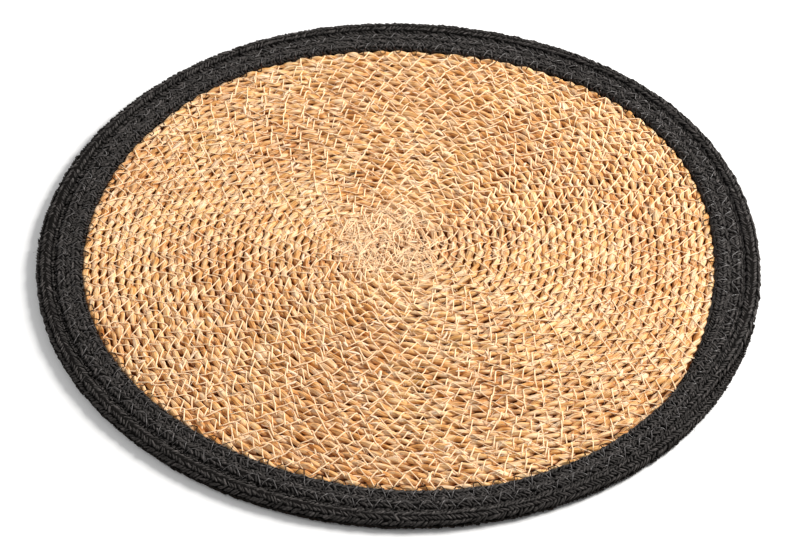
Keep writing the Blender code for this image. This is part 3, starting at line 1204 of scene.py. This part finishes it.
def float_points():
    """Place, outward and lengthwise directions, size and seed of every float of yarn."""
    rng = np.random.default_rng(41)
    angles = column_angles(*SECTION_HALVES, COLUMNS)
    rows = []
    for column, around in enumerate(angles):
        lean = FLOAT_LEAN if column % 2 else -FLOAT_LEAN
        first = np.arange(0, braid_along[-1], FLOAT_SPACING) + (column % 2) * FLOAT_SPACING / 2
        along = np.concatenate([first, first + YARN_OFFSET])
        along = (along + rng.normal(0, ALONG_SPREAD, len(along))).clip(MM, braid_along[-1] - MM)
        middle, direction, half_width, half_height, girth, lane = braid_frame(along)
        inner_side = np.column_stack([-direction[:, 1], direction[:, 0]])
        turned_up = beside_seam(around, lane)
        rise = rng.normal(0, RISE_SPREAD, len(along)) + SEAM_RISE * turned_up
        sideways = (half_width - FLOAT_INSET) * boxy(cos(around)) + rng.normal(0, SIDE_SPREAD, len(along))
        place = np.column_stack([middle + inner_side * sideways[:, None],
                                 half_height + (half_height - FLOAT_INSET) * boxy(sin(around)) + rise])
        pulled = pulled_down(place) * max(sin(around), 0)
        place[:, 2] -= pulled
        side_lean = cos(around) / half_width * (1 - SEAM_SIDE_LOSS * turned_up)
        outward = np.column_stack([inner_side * side_lean[:, None],
                                   sin(around) / half_height + SEAM_TURN * turned_up])
        outward /= np.linalg.norm(outward, axis=1)[:, None]
        forward = np.column_stack([direction, np.zeros(len(along))])
        across = np.cross(outward, forward)
        tilt = lean + rng.normal(0, TILT_SPREAD, len(along))
        heading = forward * np.cos(tilt)[:, None] + across * np.sin(tilt)[:, None]
        thinned = (THIN_SIZE + (1 - THIN_SIZE) * girth)[:, None]
        size = np.array(FLOAT_SIZE) * thinned * rng.normal(1, SIZE_SPREAD, (len(along), 3))
        size[:, 0] *= 1 - PULLED_SHORTER * pulled / HOLE_PULL
        rows.append((place, outward, heading, size, rng.uniform(0, 900, len(along))))
    return [np.concatenate(parts) for parts in zip(*rows)]


float_rows = float_points()
print("floats of yarn", len(float_rows[0]))

# %% [markdown]
# ## One float, set many times
# A float is a low lens of yarn, pointed at both ends. It is drawn once, with a dozen faces, and Geometry
# Nodes set it on every planned point, turned to face outwards and to lean with its column. Drawing each
# yarn along its whole way through the braid would give the same look for many more triangles, most of
# them hidden inside.

# %% The float and its tree
SHOULDER = 0.22                      # of the float's length, from its middle to where it starts to thin
TIP_DROP = -0.1                      # its tips lie a little lower, so that they tuck in
FLOAT_SECTION = ((-0.5, 0.0), (0.0, 0.5), (0.5, 0.0), (0.0, -0.4))
FLOAT_GRAIN = (4.0, 1.5, 1.1)        # a float's length, width and height, in the grain's millimetres


def float_mesh():
    """One float: a low lens of four long faces, pointed at both ends, one unit long, wide and thick."""
    points = [(-0.5, 0, TIP_DROP)]
    for x in (-SHOULDER, SHOULDER):
        points += [(x, across, up) for across, up in FLOAT_SECTION]
    points.append((0.5, 0, TIP_DROP))
    sides = len(FLOAT_SECTION)
    far = 1 + 2 * sides
    faces = []
    for side in range(sides):
        after = (side + 1) % sides
        faces.append((0, 1 + side, 1 + after))
        faces.append((1 + side, 1 + sides + side, 1 + sides + after, 1 + after))
        faces.append((1 + sides + side, far, 1 + sides + after))
    mesh = bpy.data.meshes.new("yarn_float")
    mesh.from_pydata(points, [], faces)
    return mesh


def float_tree():
    """Sets one float on each point, turned to its outward and lengthwise directions."""
    inputs = [("Geometry", "NodeSocketGeometry"), ("Float", "NodeSocketObject"),
              ("Material", "NodeSocketMaterial")]
    tree = new_tree("yarn_floats", "GeometryNodeTree", inputs, [("Geometry", "NodeSocketGeometry")])
    given = add_node(tree, "NodeGroupInput").outputs

    def named(key, kind):
        return add_node(tree, "GeometryNodeInputNamedAttribute", {"Name": key}, data_type=kind).outputs[0]

    shape = add_node(tree, "GeometryNodeObjectInfo", {"Object": given["Float"]}).outputs["Geometry"]
    place = add_node(tree, "GeometryNodeInputPosition").outputs[0]
    local = add_vector_math(tree, "MULTIPLY", place, FLOAT_GRAIN)
    shape = add_node(tree, "GeometryNodeStoreNamedAttribute",
                     {"Geometry": shape, "Name": "local", "Value": local},
                     data_type="FLOAT_VECTOR").outputs[0]
    turned = add_node(tree, "FunctionNodeAxesToRotation", {
        "Primary Axis": named("outward", "FLOAT_VECTOR"), "Secondary Axis": named("heading", "FLOAT_VECTOR")},
        primary_axis="Z", secondary_axis="X").outputs[0]
    points = add_node(tree, "GeometryNodeMeshToPoints", {"Mesh": given["Geometry"]}).outputs[0]
    scale = named("size", "FLOAT_VECTOR")
    placed = {"Points": points, "Instance": shape, "Rotation": turned, "Scale": scale}
    floats = add_node(tree, "GeometryNodeInstanceOnPoints", placed).outputs[0]
    floats = add_node(tree, "GeometryNodeRealizeInstances", {"Geometry": floats}).outputs[0]
    own = named("local", "FLOAT_VECTOR")
    apart = add_node(tree, "ShaderNodeSeparateXYZ", {0: own}).outputs
    strand = add_node(tree, "ShaderNodeCombineXYZ", {
        0: apart[1], 1: apart[2], 2: add_math(tree, "ADD", apart[0], named("seed", "FLOAT"))}).outputs[0]
    floats = add_node(tree, "GeometryNodeStoreNamedAttribute",
                      {"Geometry": floats, "Name": STRAND, "Value": strand},
                      data_type="FLOAT_VECTOR").outputs[0]
    floats = add_node(tree, "GeometryNodeSetMaterial",
                      {"Geometry": floats, "Material": given["Material"]}).outputs[0]
    add_node(tree, "NodeGroupOutput", {"Geometry": floats})
    return tree


FLOAT_TREE = float_tree()
print("float tree has", len(FLOAT_TREE.nodes), "nodes")

# %% [markdown]
# ## The finish of the black yarn
# The yarn is a soft matte black. Its floats are painted grey on their crests, as a painted highlight
# where light catches the fuzz, and nearly black low between floats, as painted shade. Near the table it
# is multiplied to a darker warm brown, as painted shade tinted by the light that the seagrass throws
# back. The yarn inside the braid is painted darker still, as painted shade, and has no shine.

# %% Yarn finishes
YARN_TONES = [(0.36, linear(38, 35, 34)), (0.5, linear(61, 58, 56)), (0.68, linear(114, 108, 106))]
# The gap colour is painted shade, low on each float between its neighbours.
YARN_GAP_SHADE = linear(21, 19, 18)
# The low warmth is painted shade near the table, tinted warm by the seagrass's bounce light.
LOW_WARM_SHADE = linear(118, 94, 76)
BRAID_SHADE_DEPTHS = (2.0, 5.5)            # millimetres above the table: fully warm, not at all


def yarn_coordinates(tree):
    """The strand coordinate of a float, apart: across, up and along."""
    strand = add_node(tree, "ShaderNodeAttribute", attribute_name=STRAND).outputs["Vector"]
    return add_node(tree, "ShaderNodeSeparateXYZ", {0: strand}).outputs


def braid_material():
    material, tree, shader = new_material(
        "black_braid_yarn", Sheen_Weight=0.02, Sheen_Roughness=0.4, Specular_IOR_Level=0.1)
    grain = grain_in(tree, fineness=1.8, stretch=0.3, patch_size=25.0)
    tone = add_math(tree, "MULTIPLY_ADD", grain.outputs["Streaks"], 0.55,
                    add_math(tree, "MULTIPLY", grain.outputs["Patches"], 0.45))
    color = color_ramp(tree, tone, YARN_TONES)
    # Painted highlight and shade: each float goes from the gap colour low down to the lighter tones on its
    # crest.
    crest_highlight = map_range(tree, yarn_coordinates(tree)[1], -0.05, 0.5, 0.0, 1.0)
    color = mix_color(tree, crest_highlight, YARN_GAP_SHADE, color)
    # Painted shade: darker and warmer near the table, blended in by height.
    warm_shade = mix_color(tree, 1.0, color, LOW_WARM_SHADE, "MULTIPLY")
    color = mix_color(tree, depth_in(tree, *BRAID_SHADE_DEPTHS), warm_shade, color)
    tree.links.new(color, shader.inputs["Base Color"])
    rough = map_range(tree, grain.outputs["Streaks"], 0.3, 0.7, 0.55, 0.85)
    tree.links.new(rough, shader.inputs["Roughness"])
    add_bump(tree, shader, grain.outputs["Height"], 0.35 * MM)
    return material


def shaded_core_material():
    material, tree, shader = new_material("shaded_braid_inner_yarn", Specular_IOR_Level=0.02)
    grain = grain_in(tree, fineness=2.0, stretch=0.3, patch_size=12.0)
    # Painted shade: the core is coloured near black, darker than the floats, as the gaps between them look.
    color = mix_color(tree, grain.outputs["Streaks"], linear(12, 11, 10), linear(28, 26, 25))
    tree.links.new(color, shader.inputs["Base Color"])
    tree.links.new(map_range(tree, grain.outputs["Patches"], 0.3, 0.7, 0.8, 0.95), shader.inputs["Roughness"])
    add_bump(tree, shader, grain.outputs["Height"], 0.3 * MM)
    return material


braid_yarn = braid_material()
shaded_braid_inner_yarn = shaded_core_material()
print("finishes", braid_yarn.name, "and", shaded_braid_inner_yarn.name)

# %% [markdown]
# ## The core and floats of the braid
# The core closes the gaps between floats, so that nothing shows through the braid, and its near-black
# colour is painted shade. It is a plain strand a little thinner than the braid. The floats are then set
# on it, in two pieces of equal count.

# %% Make the core and set the floats
BRAID_STEP = 5 * MM
CORE_INSET = 0.9     # millimetres that the core is thinner than the braid, on each side
CORE_LEAST = 0.3     # its least radius in millimetres, at the thin ends


def braid_core():
    along = np.arange(0, braid_along[-1], BRAID_STEP)
    middle, _, half_width, half_height, _, _ = braid_frame(along)
    points = np.column_stack([middle, half_height])
    girth = (half_width / MM - CORE_INSET).clip(CORE_LEAST)
    source = path_mesh("braid_path", [points], girth=[girth], twist=[np.zeros(len(along))],
                       along=[along / MM])
    sizes = {"Sides": 10, "Radius": MM, "Flatness": 0.93, "Material": shaded_braid_inner_yarn}
    return grow("braid_core", source, STRAND_TREE, sizes)


def braid_floats():
    place, outward, heading, size, seed = float_rows
    shape = bpy.data.objects.new("yarn_float_shape", float_mesh())
    made = []
    for part, rows in enumerate(np.array_split(np.arange(len(place)), 2)):
        source = bpy.data.meshes.new("float_points")
        source.vertices.add(len(rows))
        source.vertices.foreach_set("co", place[rows].astype(np.float32).ravel())
        for key, values in (("outward", outward), ("heading", heading), ("size", size)):
            source.attributes.new(key, "FLOAT_VECTOR", "POINT").data.foreach_set(
                "vector", values[rows].astype(np.float32).ravel())
        source.attributes.new("seed", "FLOAT", "POINT").data.foreach_set(
            "value", seed[rows].astype(np.float32))
        sizes = {"Float": shape, "Material": braid_yarn}
        made.append(grow(f"braid_floats_{part + 1}", source, FLOAT_TREE, sizes))
    bpy.data.objects.remove(shape)
    return made


core = braid_core()
floats = braid_floats()
border_top = surface_finder([core, *floats, *plies[-2:]])

# %% [markdown]
# ## Dark stitches on the border
# The same zigzag, in black thread, holds the braid to the seagrass and then its rounds to each
# other. On the braid the thread is coloured grey, as painted sheen. On the first seam the flat step of
# each stitch lies over the last round of seagrass, where the thread is coloured dark brown without that
# painted sheen and shows as small loops, so those parts are a piece of their own.

# %% Sew the border
DARK_RADIUS = 0.22 * MM
LOOP_RADIUS = 0.27 * MM
LOOP_POINTS = (3, 9)     # of a stitch's points, those that lie over the seagrass
BORDER_HOLE_DEPTH = 1.2 * MM


def dark_parts(line, girth):
    """The seam cut into its loops over the seagrass and the rest, as chains with their girths."""
    over_seagrass = int(np.searchsorted(dark_rows[:, HOLE_Q], 1 - STEP_SHARE))
    loops, rest, start = [], [], 0
    for stitch in range(over_seagrass):
        here = stitch * POINTS_A_STITCH
        rest.append(slice(start, here + LOOP_POINTS[0] + 1))
        loops.append(slice(here + LOOP_POINTS[0], here + LOOP_POINTS[1]))
        start = here + LOOP_POINTS[1] - 1
    rest.append(slice(start, len(line)))
    return [([line[part] for part in parts], [girth[part] for part in parts]) for parts in (loops, rest)]


# The grey of the dark thread is painted sheen on a black thread; the loops over the seagrass are dark brown
# instead.
dark_thread_painted_sheen = thread_material("dark_thread_painted_sheen", linear(106, 101, 100), linear(58, 55, 54),
                              roughness=0.35, specular=0.6, sheen=0.15)
brown_loop = thread_material("dark_thread_loops", linear(58, 34, 24), linear(28, 16, 12),
                             roughness=0.6, specular=0.1)
dark_line, dark_girth = sewn_chain(dark_rows, border_place, border_top, lift=1.5 * DARK_RADIUS,
                                   hole_depth=BORDER_HOLE_DEPTH, seed=52)
(loop_chains, loop_girths), (rest_chains, rest_girths) = dark_parts(dark_line, dark_girth)
dark_seam = sweep_threads("dark_zigzag", rest_chains, DARK_RADIUS, 4, dark_thread_painted_sheen, girths=rest_girths)
dark_loops = sweep_threads("dark_loops", loop_chains, LOOP_RADIUS, 4, brown_loop, girths=loop_girths)

# %% [markdown]
# ## Fuzz on the braid
# Soft yarn is never clean: short grey fibres stand off it and break up the edges of the floats. A hair
# system could make them, but its hairs have to end up as meshes anyway. So a few hundred short strands
# are laid on the braid instead, each with its far end a little raised.

# %% Fuzz on the braid
FUZZ_FIBRES = 700
FUZZ_LANES = (0.05, 2.9)
FUZZ_LENGTHS = (2 * MM, 6 * MM)
FUZZ_CURL = 1.2
FUZZ_RADIUS = 0.08 * MM
FUZZ_RISE = 0.5 * MM
FUZZ_TAPER = np.array([0.5, 1, 1, 0.7, 0.3])


def border_fuzz():
    """Short grey fibres that lie on the braid, with their far ends a little raised."""
    rng = np.random.default_rng(61)
    share = np.linspace(0, 1, len(FUZZ_TAPER))
    flat = []
    for _ in range(FUZZ_FIBRES):
        angle = rng.uniform(0, tau)
        middle = lane_point(angle, rng.uniform(*FUZZ_LANES))
        flat.append(bent_path(rng, rng.uniform(0, tau), FUZZ_LENGTHS, FUZZ_CURL, share) + middle)
    surface = border_top(np.concatenate(flat), 2 * MM).reshape(len(flat), -1)
    chains = [np.column_stack([points, under + FUZZ_RADIUS + FUZZ_RISE * rng.random() * share])
              for points, under in zip(flat, surface)]
    girths = [FUZZ_TAPER * rng.uniform(*FIBRE_GIRTHS) for _ in chains]
    return sweep_threads("braid_fuzz", chains, FUZZ_RADIUS, 3, grey_fibre, seed=5, girths=girths)


grey_fibre = thread_material("grey_fibre", linear(88, 84, 83), linear(44, 42, 41), roughness=0.7)
fuzz = border_fuzz()

# %% [markdown]
# ## Ride and replace
# The mat has no joints, so every piece rides on the one body. The seagrass pieces stand for the plain
# field and the braid for the plain border.

# %% Tie the pieces to the frame
for piece in (*plies, blades_mat, *threads, *fibres):
    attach(piece, "root")
for piece in (core, *floats, dark_seam, dark_loops, fuzz):
    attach(piece, "root")
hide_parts("seagrass_field")
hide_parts("braid_border")
print("triangles in all", sum(triangle_count(o.data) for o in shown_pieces()))

# %% [markdown]
# ## Table and light
# A plain pale table. One soft light stands high on the right, and a wide weak one on the left keeps the
# gaps between the rounds dark but not black. The even light of the room does the rest.

# %% Table and lights
TABLE_HALF_SIDE = 4.0
ROOM_LIGHT = 0.4


def table_top():
    mesh = bpy.data.meshes.new("table")
    signs = ((-1, -1), (1, -1), (1, 1), (-1, 1))
    corners = [(x * TABLE_HALF_SIDE, y * TABLE_HALF_SIDE, 0) for x, y in signs]
    mesh.from_pydata(corners, [], [(0, 1, 2, 3)])
    material, _, shader = new_material("pale_table", Roughness=0.9, Specular_IOR_Level=0.1)
    shader.inputs["Base Color"].default_value = (0.9, 0.9, 0.9, 1)
    mesh.materials.append(material)
    made = bpy.data.objects.new("table", mesh)
    bpy.context.scene.collection.objects.link(made)
    return made


def soft_light(name, place, side, power, color):
    data = bpy.data.lights.new(name, "AREA")
    data.shape = "DISK"
    data.size = side
    data.energy = power
    data.color = color
    made = bpy.data.objects.new(name, data)
    made.location = place
    made.rotation_mode = "QUATERNION"
    made.rotation_quaternion = (-Vector(place)).to_track_quat("-Z", "Y")
    bpy.context.scene.collection.objects.link(made)
    return made


table_top()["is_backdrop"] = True
soft_light("key_light", place=(1.25, 0.5, 1.05), side=0.8, power=48.0, color=(1.0, 0.985, 0.96))
soft_light("fill_light", place=(-1.5, 0.1, 1.0), side=1.6, power=9.0, color=(1.0, 1.0, 1.0))
world = bpy.data.worlds.new("soft_room")
bpy.context.scene.world = world
world.use_nodes = True
room = world.node_tree.nodes["Background"]
room.inputs["Color"].default_value = (1, 1, 1, 1)
room.inputs["Strength"].default_value = ROOM_LIGHT
bpy.context.scene.view_settings.view_transform = "Standard"
print("lights", len(bpy.data.lights))

# %% [markdown]
# ## Camera
# The mat is seen from the front and from well above, through a long lens, which keeps its far side
# nearly as wide as its near side. The camera's frame is built from its own three axes, so that its
# small roll is easy to set.

# %% Camera
mat_radius = round(float(border_outer(np.linspace(0, tau, 360)).mean()), 4)
ELEVATION = radians(44.03)
ROLL = radians(1.393)
DISTANCE = 7.663 * mat_radius
AIM = np.array([-0.0057, -0.0799]) * mat_radius    # from the middle of the coil
LENS = 125.3
SENSOR_WIDTH = 36.0


def make_camera():
    data = bpy.data.cameras.new("camera")
    data.lens = LENS
    data.sensor_width = SENSOR_WIDTH
    camera = bpy.data.objects.new("camera", data)
    target = Vector((*(coil_centre + AIM), 0.0))
    back = Vector((0, -cos(ELEVATION), sin(ELEVATION)))
    right = Vector((1, 0, 0))
    up = right.cross(-back)
    turned_right = right * cos(ROLL) + up * sin(ROLL)
    turned_up = up * cos(ROLL) - right * sin(ROLL)
    turn = Matrix((turned_right, turned_up, back)).transposed().to_4x4()
    camera.matrix_world = Matrix.Translation(target + back * DISTANCE) @ turn
    bpy.context.scene.collection.objects.link(camera)
    bpy.context.scene.camera = camera
    return camera


camera = make_camera()
print("camera at", [round(side, 2) for side in camera.matrix_world.translation])
